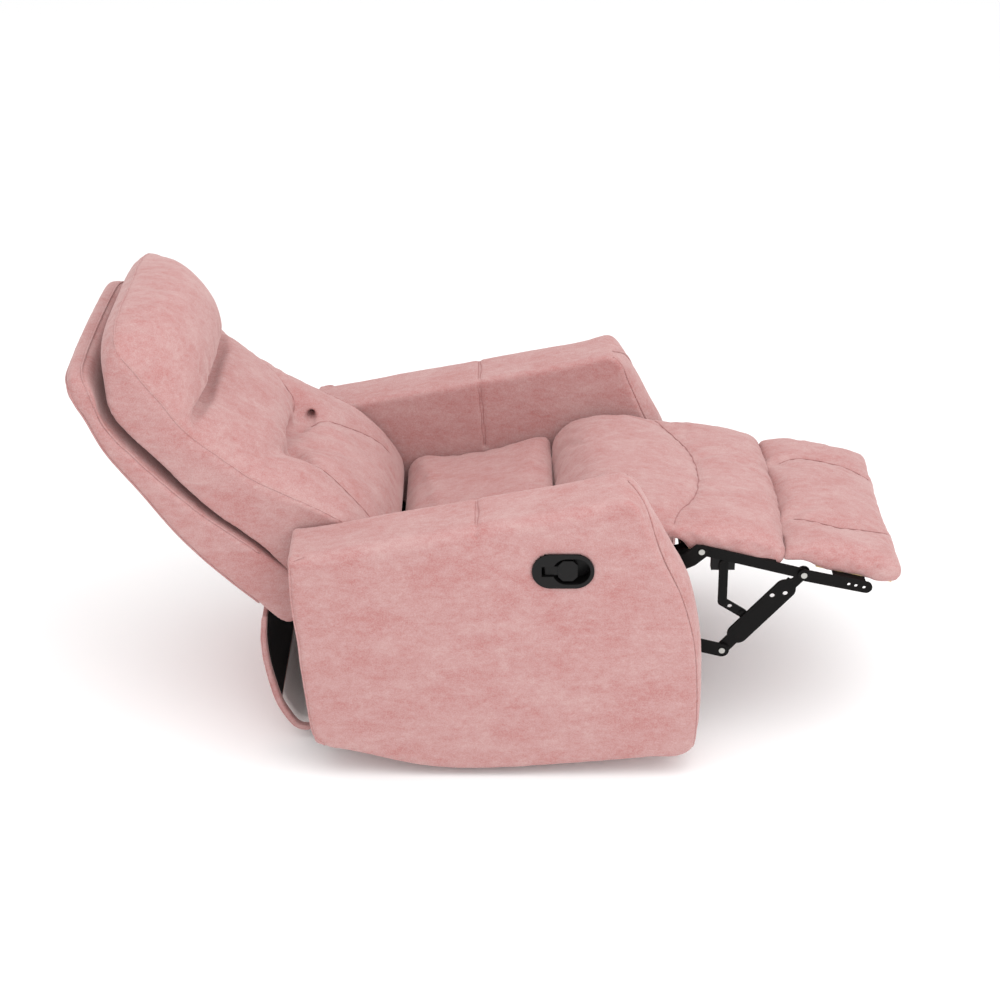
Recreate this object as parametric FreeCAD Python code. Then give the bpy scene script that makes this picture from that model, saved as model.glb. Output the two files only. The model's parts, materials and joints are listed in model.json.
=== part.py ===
import FreeCAD, Part
import math
import os

# Swivel glider recliner with a chaise leg panel, shown laid back with its footrest out.
# Frame: origin on the floor under the swivel, +Z up, the sitter faces -Y. Millimetres.
# Side shapes are drawn as (y, z) points and given a thickness along X.

Vector = FreeCAD.Vector

# ---- widths, measured from the middle plane
OVERALL_WIDTH = 790.0
ARM_THICKNESS = 130.0
ARM_OUTER = OVERALL_WIDTH / 2
ARM_INNER = ARM_OUTER - ARM_THICKNESS
SEAT_HALF = ARM_INNER - 2.0
BACK_HALF = ARM_INNER - 13.5
SKIRT_HALF = ARM_INNER - 3.0
BOARD_HALF = 245.0

# ---- pivots of the recliner mechanism, as (y, z)
LEG_HINGE = (-400.0, 430.0)
FOOT_HINGE = (-600.0, 378.0)
LOWER_HINGE = (-250.0, 257.0)
LINK_RUN = (FOOT_HINGE[0] - LEG_HINGE[0], FOOT_HINGE[1] - LEG_HINGE[1])
KNEE = (LOWER_HINGE[0] + LINK_RUN[0], LOWER_HINGE[1] + LINK_RUN[1])
BACK_HINGE = (315.0, 330.0)

# ---- hanging links of the glider
GLIDE_Y = 170.0
GLIDE_TOP = 200.0
GLIDE_LINK = 122.0
GLIDE_BOTTOM = GLIDE_TOP - GLIDE_LINK

# ---- mechanism plates lie in layers, counted inwards from the arm
PLATE = 4.0
LAYER_STEP = 6.0
FIRST_LAYER = 258.0

# ---- fits
PIN_RADIUS = 6.0
LEG_WEB = 10.5
RUNNING_FIT = 0.06
OPEN_FIT = 0.35
WELD_GAP = 0.15

# ---- swivel base
RING_RADIUS = 242.0
RING_TUBE = 12.5
FOOT_HEIGHT = 5.0
BAR_TOP = 30.0
RACE_RADIUS = 60.0
BOLT_RADIUS = 8.0
UPPER_PLATE_Z = 39.4
BED_Z = 43.0

# ---- seat support plane: height at its rear end, and how it climbs to the front
SEAT_REAR = (185.0, 258.0)
SEAT_CLIMB = 0.2912

# ---- release handle on the sitter's right arm
HANDLE_Y = -130.0
HANDLE_Z = 463.0
HANDLE_HALF = 58.0


def layer(index):
    """Inner and outer X of a mechanism layer; 0 is the outermost."""
    low = FIRST_LAYER - index * LAYER_STEP
    return low, low + PLATE


def seat_plane(y):
    """Height of the seat springs at y."""
    return SEAT_REAR[1] + (SEAT_REAR[0] - y) * SEAT_CLIMB


def prism(outline, x_low, x_high):
    """Solid with a straight-sided (y, z) outline between two X planes."""
    points = [Vector(x_low, y, z) for y, z in outline]
    face = Part.Face(Part.makePolygon(points + points[:1]))
    return face.extrude(Vector(x_high - x_low, 0, 0))


def curved_prism(straight, curve, x_low, x_high):
    """Solid whose outline runs along straight points, then back along a smooth curve."""
    line = [Vector(x_low, y, z) for y, z in straight]
    bend = Part.BSplineCurve()
    bend.interpolate([Vector(x_low, y, z) for y, z in curve])
    ends = [Vector(x_low, *curve[-1])] + line + [Vector(x_low, *curve[0])]
    wire = Part.Wire([bend.toShape()] + Part.makePolygon(ends).Edges)
    return Part.Face(wire).extrude(Vector(x_high - x_low, 0, 0))


def block(x_low, x_high, y_low, y_high, z_low, z_high):
    """Axis-aligned box between pairs of planes."""
    corner = Vector(x_low, y_low, z_low)
    return Part.makeBox(x_high - x_low, y_high - y_low, z_high - z_low, corner)


def rod(centre, x_low, x_high, radius):
    """Round bar along X through a (y, z) point."""
    start = Vector(x_low, *centre)
    return Part.makeCylinder(radius, x_high - x_low, start, Vector(1, 0, 0))


def post(x, y, z_low, z_high, radius):
    """Round bar along Z."""
    return Part.makeCylinder(radius, z_high - z_low, Vector(x, y, z_low))


def bar(points, half_width, x_low, x_high):
    """Flat bar with round ends that runs through (y, z) points."""
    solids = [rod(point, x_low, x_high, half_width) for point in points]
    for (y0, z0), (y1, z1) in zip(points, points[1:]):
        length = math.hypot(y1 - y0, z1 - z0)
        side_y = -(z1 - z0) / length * half_width
        side_z = (y1 - y0) / length * half_width
        strip = [(y0 + side_y, z0 + side_z), (y1 + side_y, z1 + side_z),
                 (y1 - side_y, z1 - side_z), (y0 - side_y, z0 - side_z)]
        solids.append(prism(strip, x_low, x_high))
    return solids[0].multiFuse(solids[1:]).removeSplitter()


def drill(shape, centres, radius):
    """The shape with holes along X at (y, z) points."""
    holes = [rod(centre, -ARM_OUTER, ARM_OUTER, radius) for centre in centres]
    return shape.cut(holes)


def along(start, end, part):
    """Point a given part of the way from start to end."""
    return (start[0] + (end[0] - start[0]) * part, start[1] + (end[1] - start[1]) * part)


def opposite(shape):
    """The same piece on the other side of the middle plane."""
    return shape.mirror(Vector(0, 0, 0), Vector(1, 0, 0))


def both_sides(shapes):
    """Pieces and their mirror images, kept as separate solids."""
    solids = [solid for shape in shapes for solid in shape.Solids]
    return Part.makeCompound(solids + [opposite(solid) for solid in solids])


# ---------------------------------------------------------------- swivel base

def base_parts():
    """Ring on the floor with its cross bars, glides and ball race."""
    ring = Part.makeTorus(RING_RADIUS, RING_TUBE, Vector(0, 0, FOOT_HEIGHT + RING_TUBE))
    bolt = post(0, 0, 14, 56, BOLT_RADIUS)
    bolt_head = post(0, 0, 14, 20, 13)
    bolt = bolt.fuse(bolt_head).removeSplitter()
    half_bar = 20.0
    bars = [block(-RING_RADIUS, RING_RADIUS, -half_bar, half_bar, 10, BAR_TOP),
            block(-half_bar, half_bar, half_bar, RING_RADIUS, 10, BAR_TOP),
            block(-half_bar, half_bar, -RING_RADIUS, -half_bar, 10, BAR_TOP)]
    bars = [piece.cut([ring, bolt]).Solids for piece in bars]
    bars = [max(pieces, key=lambda piece: piece.Volume) for pieces in bars]
    feet = []
    for step in range(8):
        angle = math.radians(45 * step)
        foot = post(RING_RADIUS * math.cos(angle), RING_RADIUS * math.sin(angle), 0, 12, 15)
        feet.append(foot.cut([ring] + bars))
    race = post(0, 0, BAR_TOP, BAR_TOP + 3, RACE_RADIUS + 25)
    race = race.cut(post(0, 0, 0, 60, BOLT_RADIUS + RUNNING_FIT))
    ball_z = (BAR_TOP + 3 + UPPER_PLATE_Z) / 2
    cage = post(0, 0, ball_z - 1, ball_z + 1, RACE_RADIUS + 10)
    cage = cage.cut(post(0, 0, 0, 60, RACE_RADIUS - 10))
    balls = []
    pockets = []
    for step in range(16):
        angle = math.radians(22.5 * step)
        centre = Vector(RACE_RADIUS * math.cos(angle), RACE_RADIUS * math.sin(angle), ball_z)
        balls.append(Part.makeSphere(3.1, centre))
        pockets.append(post(centre.x, centre.y, 0, 60, 3.3))
    nut = post(0, 0, BED_Z + 0.4, BED_Z + 9, 15).cut(post(0, 0, 0, 60, BOLT_RADIUS + 0.02))
    return {
        "base_ring": ring,
        "base_cross_bars": Part.makeCompound(bars),
        "base_feet": Part.makeCompound(feet),
        "swivel_bolt": bolt,
        "swivel_lower_plate": race,
        "bearing_cage": cage.cut(pockets),
        "bearing_balls": Part.makeCompound(balls),
        "swivel_nut": nut,
    }


# ---------------------------------------------------------------- glider

def glider_parts():
    """Turning bed with its four hangers, and the links that carry the chair."""
    plate = block(-95, 95, -95, 95, UPPER_PLATE_Z, BED_Z)
    plate = plate.cut(post(0, 0, 0, 60, BOLT_RADIUS + RUNNING_FIT))
    long_rail = block(150, 180, -215, 215, BED_Z, BED_Z + 30)
    cross_rails = [block(-150, 150, y - 15, y + 15, BED_Z, BED_Z + 25) for y in (-75, 75)]
    bed = Part.makeCompound([long_rail, opposite(long_rail)] + cross_rails)

    parts = {"swivel_upper_plate": plate, "glider_bed": bed}
    upper_pins = []
    lower_pins = []
    for side, y in (("front", -GLIDE_Y), ("rear", GLIDE_Y)):
        hanger = bar([(y, BED_Z + 22), (y, GLIDE_TOP)], 22, 180, 186)
        hanger = drill(hanger, [(y, GLIDE_TOP)], PIN_RADIUS + RUNNING_FIT)
        parts[side + "_hangers"] = both_sides([hanger])
        fit = RUNNING_FIT if side == "front" else OPEN_FIT
        link = bar([(y, GLIDE_TOP), (y, GLIDE_BOTTOM)], 15, 188, 193)
        link = drill(link, [(y, GLIDE_TOP)], PIN_RADIUS + RUNNING_FIT)
        link = drill(link, [(y, GLIDE_BOTTOM)], PIN_RADIUS + fit)
        parts[side + "_link_left"] = link
        parts[side + "_link_right"] = opposite(link)
        upper_pins.append(rod((y, GLIDE_TOP), 177, 195.5, PIN_RADIUS))
        lower_pins.append(rod((y, GLIDE_BOTTOM), 187, 203, PIN_RADIUS))
    parts["upper_glide_pins"] = both_sides(upper_pins)
    parts["lower_glide_pins"] = both_sides(lower_pins)
    return parts


# ---------------------------------------------------------------- steel frame of the chair

CROSS_TUBES = ((-60.0, 95.0), (262.0, 95.0))
TUBE_RADIUS = 12.0
ARM_BOLTS = ((-20.0, 150.0), (220.0, 150.0), (20.0, 270.0), (190.0, 225.0))
BOLT_SHANK = 4.0


def frame_parts():
    """Rails on the glide links, cross tubes and the two mechanism side plates."""
    rail = block(196, 202, -225, 300, 60, 118)
    rail = drill(rail, CROSS_TUBES, TUBE_RADIUS + WELD_GAP)
    rail = drill(rail, [(-GLIDE_Y, GLIDE_BOTTOM), (GLIDE_Y, GLIDE_BOTTOM)], PIN_RADIUS + RUNNING_FIT)

    low, high = layer(0)
    tubes = [rod(centre, -low, low, TUBE_RADIUS) for centre in CROSS_TUBES]

    margin = 6.0
    outline = [(-90, 75), (285, 70), (345, 320), (335, 350), (300, 352), (262, 330),
               (192, 262), (-366, seat_plane(-366) + margin), (-390, 445), (-411, 441),
               (-415, 424), (-388, 400), (-235, 330), (-277, 272), (-268, 236)]
    plate = prism(outline, low, high)
    plate = drill(plate, [LEG_HINGE, LOWER_HINGE, BACK_HINGE], PIN_RADIUS + RUNNING_FIT)
    plate = drill(plate, ARM_BOLTS, BOLT_SHANK + WELD_GAP)

    inner = layer(1)[0]
    hinges = (LEG_HINGE, LOWER_HINGE, BACK_HINGE)
    pivots = [rod(centre, inner, high + 2, PIN_RADIUS) for centre in hinges]
    bolts = []
    for centre in ARM_BOLTS:
        head = rod(centre, low - 4, low, 9)
        bolts.append(head.fuse(rod(centre, low, low + 36, BOLT_SHANK)).removeSplitter())
    return {
        "chassis_rails": both_sides([rail]),
        "cross_tubes": Part.makeCompound(tubes),
        "side_plate_left": plate,
        "side_plate_right": opposite(plate),
        "pivot_bolts": both_sides(pivots),
        "arm_bolts": both_sides(bolts),
    }


def sinuous_spring(x):
    """Zigzag of spring wire that lies on the two seat cross rails."""
    pitch = 15.0
    reach = 20.0
    wire = 4.0
    count = 36
    line = [(reach * (-1) ** step, -pitch * step) for step in range(count)]
    right = [Vector(across + wire / 2, run, 0) for across, run in line]
    left = [Vector(across - wire / 2, run, 0) for across, run in reversed(line)]
    strip = Part.Face(Part.makePolygon(right + left + right[:1])).extrude(Vector(0, 0, 3.5))
    strip.rotate(Vector(0, 0, 0), Vector(1, 0, 0), -math.degrees(math.atan(SEAT_CLIMB)))
    strip.translate(Vector(x, SEAT_REAR[0] - 18, seat_plane(SEAT_REAR[0] - 18) + 0.1))
    return strip


def seat_parts():
    """Seat frame, springs, the seat cushion and the front pad that meets the leg panel."""
    drop = 45.0
    rail_outline = [(SEAT_REAR[0], seat_plane(SEAT_REAR[0])), (-385, seat_plane(-385)),
                    (-385, seat_plane(-385) - drop), (SEAT_REAR[0], seat_plane(SEAT_REAR[0]) - drop)]
    side_rail = prism(rail_outline, 205, 230)
    cross_rails = []
    for y_low, y_high in ((-385, -365), (160, 180)):
        top = [(y_high, seat_plane(y_high)), (y_low, seat_plane(y_low))]
        bottom = [(y_low, seat_plane(y_high) - 28), (y_high, seat_plane(y_high) - 28)]
        cross_rails.append(prism(top + bottom, -205, 205))
    cross_rails = Part.makeCompound([side_rail, opposite(side_rail)] + cross_rails)

    crease = -122.0
    cushion = [(183, 269), (183, 358), (172, 374), (20, 402), (-100, 430), (crease, 424), (crease, 358)]
    front = [(-124.5, 358), (-124.5, 436), (-150, 466), (-200, 484), (-270, 490), (-366, 476), (-366, 442)]
    return {
        "seat_frame": cross_rails,
        "seat_springs": Part.makeCompound([sinuous_spring(x) for x in (-160, -80, 0, 80, 160)]),
        "seat_cushion": prism(cushion, -SEAT_HALF, SEAT_HALF),
        "seat_front_pad": prism(front, -SEAT_HALF, SEAT_HALF),
    }


# ---------------------------------------------------------------- arms and rear skirt

def arm_outline():
    """Straight points of an arm's side, then the curve of its nose from tip to toe."""
    straight = [(-300, 44), (-129, 28), (105, 21), (288, 64), (338, 78), (354, 105), (383, 478), (370, 486)]
    nose = [(-246, 607), (-272, 590), (-301, 548), (-336, 485), (-368, 421), (-389, 344), (-400, 255),
            (-403, 140), (-397, 84), (-370, 55)]
    return straight, nose


def arm_parts():
    """Plywood arm panels with battens, and the padded covers around them."""
    straight, nose = arm_outline()
    cover = curved_prism(straight, nose, ARM_INNER, ARM_OUTER)
    panel = prism([(-330, 80), (105, 50), (320, 100), (350, 455), (-240, 570), (-340, 420)], 280, 292)
    battens = [block(292, 350, -300, 300, 120, 160), block(292, 350, -290, 330, 400, 440)]
    frame = panel.multiFuse(battens)
    bolts = [rod(centre, ARM_INNER - 5, FIRST_LAYER + 36, BOLT_SHANK + WELD_GAP) for centre in ARM_BOLTS]
    frame = frame.cut(bolts).removeSplitter()
    cover = cover.cut([panel.multiFuse(battens)] + bolts)
    cup_room = oblong(HANDLE_Y - HANDLE_HALF + 2.3, HANDLE_Y + HANDLE_HALF - 2.3, 33.2,
                      -ARM_OUTER - 2, -ARM_OUTER + 29.3)
    return {
        "arm_frame_left": frame,
        "arm_frame_right": opposite(frame),
        "arm_cover_left": cover,
        "arm_cover_right": opposite(cover).cut(cup_room),
    }


def rear_skirt():
    """Curved upholstered panel that closes the back under the backrest."""
    outer = [(452, 285), (456, 233), (445, 140), (420, 62), (390, 24), (366, 20)]
    inner = [(440, 285), (444, 233), (433, 143), (409, 68), (384, 36), (366, 32)]
    outside = Part.BSplineCurve()
    outside.interpolate([Vector(-SKIRT_HALF, y, z) for y, z in outer])
    inside = Part.BSplineCurve()
    inside.interpolate([Vector(-SKIRT_HALF, y, z) for y, z in inner])
    ends = [Part.makeLine(Vector(-SKIRT_HALF, *a), Vector(-SKIRT_HALF, *b))
            for a, b in ((outer[0], inner[0]), (outer[-1], inner[-1]))]
    wire = Part.Wire([outside.toShape(), ends[1], inside.toShape(), ends[0]])
    return {"rear_skirt": Part.Face(wire).extrude(Vector(2 * SKIRT_HALF, 0, 0))}


# ---------------------------------------------------------------- release handle

def oblong(y_front, y_rear, half_height, x_low, x_high):
    """Slug along X with round ends, drawn between two Y limits at the handle's height."""
    ends = [(y_front + half_height, HANDLE_Z), (y_rear - half_height, HANDLE_Z)]
    return bar(ends, half_height, x_low, x_high)


def handle_parts():
    """Oblong cup let into the arm, its T-shaped paddle and the paddle's pin."""
    face = -ARM_OUTER
    front, rear = HANDLE_Y - HANDLE_HALF, HANDLE_Y + HANDLE_HALF
    body = oblong(front + 2.5, rear - 2.5, 33, face, face + 29)
    cup = oblong(front, rear, 35.5, face - 4, face).fuse(body)
    pocket = oblong(front + 7, HANDLE_Y + 20, 27, face - 5, face + 26)
    slot = block(face - 5, face + 26, HANDLE_Y - 5, HANDLE_Y + 40, HANDLE_Z - 10.5, HANDLE_Z + 10.5)
    cup = cup.cut([pocket, slot]).removeSplitter()
    hinge_x = face + 12
    hinge_y = HANDLE_Y + 33
    pin = post(hinge_x, hinge_y, HANDLE_Z - 17, HANDLE_Z + 17, 2)
    y_front, y_back = HANDLE_Y - 27, HANDLE_Y + 9
    chamfer = 9.0
    corners = [(y_front, -21 + chamfer), (y_front, 21 - chamfer), (y_front + chamfer, 21),
               (y_back - chamfer, 21), (y_back, 21 - chamfer), (y_back, chamfer - 21),
               (y_back - chamfer, -21), (y_front + chamfer, -21)]
    pad = prism([(y, HANDLE_Z + z) for y, z in corners], face - 1, face + 8)
    stem = block(face + 1, face + 8, y_back, hinge_y, HANDLE_Z - 9, HANDLE_Z + 9)
    knuckle = block(face + 8, hinge_x, hinge_y - 4, hinge_y, HANDLE_Z - 9, HANDLE_Z + 9)
    barrel = post(hinge_x, hinge_y, HANDLE_Z - 9, HANDLE_Z + 9, 4.5)
    paddle = pad.multiFuse([stem, knuckle, barrel]).removeSplitter()
    paddle = paddle.cut(post(hinge_x, hinge_y, 0, 600, 2 + RUNNING_FIT))
    return {"handle_cup": cup.cut(pin), "release_paddle": paddle, "paddle_pin": pin}


# ---------------------------------------------------------------- backrest

BACK_FOOT = (449.0, 307.0)
BACK_HEAD = (791.0, 750.0)


def back_point(up, forward):
    """Point on the side view, measured up the rear face and forward from it."""
    run = math.hypot(BACK_HEAD[0] - BACK_FOOT[0], BACK_HEAD[1] - BACK_FOOT[1])
    dir_y = (BACK_HEAD[0] - BACK_FOOT[0]) / run
    dir_z = (BACK_HEAD[1] - BACK_FOOT[1]) / run
    return (BACK_FOOT[0] + up * dir_y - forward * dir_z, BACK_FOOT[1] + up * dir_z + forward * dir_y)


def back_parts():
    """Back frame inside its rear shell, lumbar cushion, head pillow and hinge brackets."""
    slab = [(398, 273), (455, 314), (526, 379), (601, 462), (667, 555), (731, 644), (771, 724),
            (799, 787), (768, 796), (731, 709), (647, 605), (558, 516), (449, 429), (352, 318)]
    shell = prism(slab, -BACK_HALF, BACK_HALF)
    members = []
    for up_low, up_high, x_low, x_high in ((20, 520, 195, 235), (20, 520, -235, -195),
                                           (40, 90, -195, 195), (250, 300, -195, 195),
                                           (465, 515, -195, 195)):
        section = [back_point(up_low, 4), back_point(up_high, 4),
                   back_point(up_high, 17), back_point(up_low, 17)]
        members.append(prism(section, x_low, x_high))
    shell = shell.cut(members)

    cushion = [(204, 303), (199, 360), (219, 421), (300, 507), (380, 572), (470, 636), (543, 692),
               (692, 706), (591, 595), (502, 509), (444, 455), (395, 400), (340, 330), (290, 300)]
    pillow = [(545, 698), (532, 745), (543, 787), (571, 838), (610, 875), (655, 890), (700, 883),
              (731, 848), (728, 781), (694, 713)]
    bracket = bar([BACK_HINGE, (360, 386), (430, 462)], 15, *layer(1))
    bracket = drill(bracket, [BACK_HINGE], PIN_RADIUS + RUNNING_FIT)
    return {
        "back_frame": Part.makeCompound(members),
        "back_shell": shell,
        "back_cushion": prism(cushion, -BACK_HALF, BACK_HALF),
        "head_pillow": prism(pillow, -BACK_HALF, BACK_HALF),
        "back_bracket_left": bracket,
        "back_bracket_right": opposite(bracket),
    }


# ---------------------------------------------------------------- footrest

def leg_parts():
    """Leg panel on its hinge: board, pad, brackets and the foot hinge pins."""
    board = [(-376, 440.5), (-376, 428.5), (-556, 405.5), (-556, 417.5)]
    pad = [(-368.5, 475), (-440, 470), (-513, 456), (-553, 438), (-562, 426), (-562, 418.5),
           (-435, 434), (-368.5, 443)]
    low, high = layer(1)
    web = bar([LEG_HINGE, FOOT_HINGE], LEG_WEB, low, high)
    flange = prism([(-474, 415.8), (-545, 406.7), (-545, 403.7), (-474, 412.8)], 215, high)
    bracket = web.fuse(flange).removeSplitter()
    bracket = drill(bracket, [LEG_HINGE, FOOT_HINGE], PIN_RADIUS + RUNNING_FIT)
    pin = rod(FOOT_HINGE, layer(2)[0] - 1.5, layer(0)[1] + 1.5, PIN_RADIUS)
    return {
        "leg_board": prism(board, -BOARD_HALF, BOARD_HALF),
        "leg_pad": prism(pad, -BACK_HALF, BACK_HALF),
        "leg_bracket_left": bracket,
        "leg_bracket_right": opposite(bracket),
        "foot_pins": both_sides([pin]),
    }


def link_parts():
    """Lower links with their torque tube, long links and the pad supports on them."""
    low, high = layer(1)
    tail = along(LOWER_HINGE, KNEE, -0.242)
    lower = bar([tail, LOWER_HINGE, KNEE], 14, low, high)
    lower = drill(lower, [LOWER_HINGE, KNEE], PIN_RADIUS + RUNNING_FIT)
    torque_tube = rod(tail, -low, low, 10)
    knee_pin = rod(KNEE, layer(2)[0] - 1.5, high + 1.5, PIN_RADIUS)

    low, high = layer(2)
    narrow = bar([KNEE, FOOT_HINGE], 13, low, high)
    wide = bar([along(KNEE, FOOT_HINGE, 0.2), along(KNEE, FOOT_HINGE, 0.78)], 21, low, high)
    long_link = narrow.fuse(wide).removeSplitter()
    long_link = drill(long_link, [KNEE], PIN_RADIUS + RUNNING_FIT)
    long_link = drill(long_link, [FOOT_HINGE], PIN_RADIUS + OPEN_FIT)
    spare_holes = [(-577, 368), (-568, 331), (-543, 326)]
    long_link = drill(long_link, spare_holes, 5)

    low, high = layer(3)
    rivets = [(-500, 268), (-487, 283)]
    support = bar([*rivets, (-447, 309), (-446, 392)], 9, low, high)
    support = drill(support, [(-462, 299)], 4.5)
    spacer = [rod(centre, high, layer(2)[0], 7) for centre in rivets]
    support = support.multiFuse(spacer).removeSplitter()
    support_block = prism([(-468, 378), (-422, 378), (-422, 421.2), (-468, 415.4)], 222, low)
    return {
        "lower_link_left": lower,
        "lower_link_right": opposite(lower),
        "torque_tube": torque_tube,
        "knee_pins": both_sides([knee_pin]),
        "long_link_left": long_link,
        "long_link_right": opposite(long_link),
        "pad_supports": both_sides([support]),
        "support_blocks": both_sides([support_block]),
    }


def foot_parts():
    """Foot panel at the end of the leg panel: board, pad and its two brackets."""
    board = [(-626, 398), (-775, 364), (-773, 354), (-624, 388)]
    pad = [(-566, 434), (-600, 436), (-680, 424), (-760, 404), (-790, 390), (-798, 377), (-794, 367),
           (-779, 364), (-626, 399), (-566, 411)]
    low, high = layer(0)
    web_end = (-722, 351)
    web = bar([FOOT_HINGE, (-640, 369), web_end], 12, low, high)
    flange = prism([(-655, 380.6), (-720, 365.7), (-720.7, 362.7), (-655.7, 377.6)], 215, high)
    bracket = web.fuse(flange).removeSplitter()
    bracket = drill(bracket, [FOOT_HINGE], PIN_RADIUS + RUNNING_FIT)
    bracket = drill(bracket, [(-688, 358), (-702, 355), (-718, 351)], 3.5)
    return {
        "foot_board": prism(board, -BOARD_HALF, BOARD_HALF),
        "foot_pad": prism(pad, -BACK_HALF, BACK_HALF),
        "foot_bracket_left": bracket,
        "foot_bracket_right": opposite(bracket),
    }


def main():
    """Write each piece to its own STEP file."""
    os.makedirs("parts", exist_ok=True)
    sections = (base_parts, glider_parts, frame_parts, seat_parts, arm_parts, rear_skirt,
                handle_parts, back_parts, leg_parts, link_parts, foot_parts)
    for section in sections:
        for name, shape in section().items():
            shape.exportStep(os.path.join("parts", name + ".step"))
            print(name, len(shape.Solids), round(shape.Volume / 1000), shape.isValid())


main()
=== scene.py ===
"""Glider recliner for a nursery: upholstery, stitching and finishes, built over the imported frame."""
import json
import logging
import math
from dataclasses import dataclass, field
from enum import Enum
from typing import Iterable, Sequence

import bmesh
import bpy
import numpy as np
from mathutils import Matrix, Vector


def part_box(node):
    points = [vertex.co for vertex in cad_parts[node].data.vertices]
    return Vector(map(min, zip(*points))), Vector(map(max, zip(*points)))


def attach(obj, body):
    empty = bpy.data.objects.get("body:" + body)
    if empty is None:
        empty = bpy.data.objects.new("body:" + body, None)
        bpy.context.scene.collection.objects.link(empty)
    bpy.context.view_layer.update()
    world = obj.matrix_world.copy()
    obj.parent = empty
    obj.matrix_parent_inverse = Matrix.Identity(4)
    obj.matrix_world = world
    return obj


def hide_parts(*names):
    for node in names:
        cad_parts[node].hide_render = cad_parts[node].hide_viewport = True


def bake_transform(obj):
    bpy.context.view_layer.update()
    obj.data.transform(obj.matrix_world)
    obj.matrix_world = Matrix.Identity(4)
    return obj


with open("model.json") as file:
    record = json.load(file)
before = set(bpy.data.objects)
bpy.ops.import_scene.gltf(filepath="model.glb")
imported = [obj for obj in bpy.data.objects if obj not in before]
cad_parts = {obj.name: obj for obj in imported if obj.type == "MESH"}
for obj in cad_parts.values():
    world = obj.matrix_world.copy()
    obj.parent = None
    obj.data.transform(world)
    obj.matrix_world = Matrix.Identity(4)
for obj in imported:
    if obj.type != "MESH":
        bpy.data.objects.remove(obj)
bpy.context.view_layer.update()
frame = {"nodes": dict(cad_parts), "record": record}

LOG = logging.getLogger("glider_recliner")
MM = 0.001
SIM_FRAMES = 20
WEAR_MM = 40.0  # the size of the faint uneven patches in the gloss of a hard part
THREAD_RADIUS = 0.8
UP_BACK = np.array((0.6361, 0.7716))  # y and z of the unit direction up the laid-back backrest


# ---------------------------------------------------------------------------------------------- lines

def curve_through(points: Sequence[Sequence[float]], closed: bool, per_run: int) -> np.ndarray:
    """Carries a smooth line through the points.

    Each point's slope is the mean of its two neighbouring runs' slopes, each weighted by the length of the other
    run, and a cubic with those slopes joins each pair of points.

    Args:
        points: The points the line goes through, in millimetres.
        closed: Whether the line returns to its first point.
        per_run: How many points the result has between two of the given ones.

    Returns:
        The line's points, one row each; a closed line repeats its first point at its end.
    """
    p = np.asarray(points, float)
    if closed:
        p = np.vstack([p, p[:1]])
    run = np.diff(p, axis=0)
    length = np.linalg.norm(run, axis=1)[:, None]
    slope = run / length
    if closed:
        before, after = np.roll(length, 1, 0), length
        tangent = (after * np.roll(slope, 1, 0) + before * slope) / (before + after)
        tangent = np.vstack([tangent, tangent[:1]])
    else:
        inner = (length[1:] * slope[:-1] + length[:-1] * slope[1:]) / (length[1:] + length[:-1])
        tangent = np.vstack([slope[:1], inner, slope[-1:]])
    t = np.linspace(0, 1, per_run, endpoint=False)[None, :, None]
    start, end = p[:-1, None], p[1:, None]
    out, into = tangent[:-1, None] * length[:, None], tangent[1:, None] * length[:, None]
    dense = (start * (2 * t**3 - 3 * t**2 + 1) + out * (t**3 - 2 * t**2 + t)
             + end * (3 * t**2 - 2 * t**3) + into * (t**3 - t**2))
    return np.vstack([dense.reshape(-1, p.shape[1]), p[-1:]])


def smooth_line(points: Sequence[Sequence[float]], closed: bool = False, step: float = 4.0) -> np.ndarray:
    """Carries a smooth line through the points and cuts it at equal lengths.

    Args:
        points: The points the line goes through, in millimetres.
        closed: Whether the line returns to its first point.
        step: The spacing of the result, in millimetres.

    Returns:
        The evenly spaced points, one row each; a closed line doesn't repeat its first point.
    """
    dense = curve_through(points, closed, 24)
    along = np.concatenate([[0], np.cumsum(np.linalg.norm(np.diff(dense, axis=0), axis=1))])
    count = max(8, int(round(along[-1] / step)))
    at = np.linspace(0, along[-1], count, endpoint=not closed)
    return np.stack([np.interp(at, along, column) for column in dense.T], 1)


def outward_of(outline: np.ndarray) -> np.ndarray:
    """Gives the unit normals that point out of a closed line.

    The tangent is the difference of the two neighbours, turned by a quarter turn away from the enclosed area.

    Args:
        outline: The closed line, one (y, z) row per point.

    Returns:
        One unit normal per point.
    """
    tangent = np.roll(outline, -1, 0) - np.roll(outline, 1, 0)
    tangent /= np.linalg.norm(tangent, axis=1)[:, None]
    y, z = outline.T
    area = np.sum(y * np.roll(z, -1) - np.roll(y, -1) * z)
    return np.stack([tangent[:, 1], -tangent[:, 0]], 1) * math.copysign(1.0, area)


def smoothstep(low: float, high: float, value: np.ndarray) -> np.ndarray:
    """Rises smoothly from 0 at low to 1 at high: t squared times three less two t."""
    t = np.clip((np.asarray(value, float) - low) / (high - low), 0, 1)
    return t * t * (3 - 2 * t)


def mirrored(path: Sequence[Sequence[float]]) -> np.ndarray:
    """The same path on the other side of the chair's middle plane."""
    return np.asarray(path, float) * (-1, 1, 1)


def share_across(points: np.ndarray, half: float) -> np.ndarray:
    """How far each point is from the middle plane, as a share of half, at most 1."""
    return np.clip(np.abs(points[:, 0]) / half, 0, 1)


# --------------------------------------------------------------------------------------------- meshes

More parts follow.
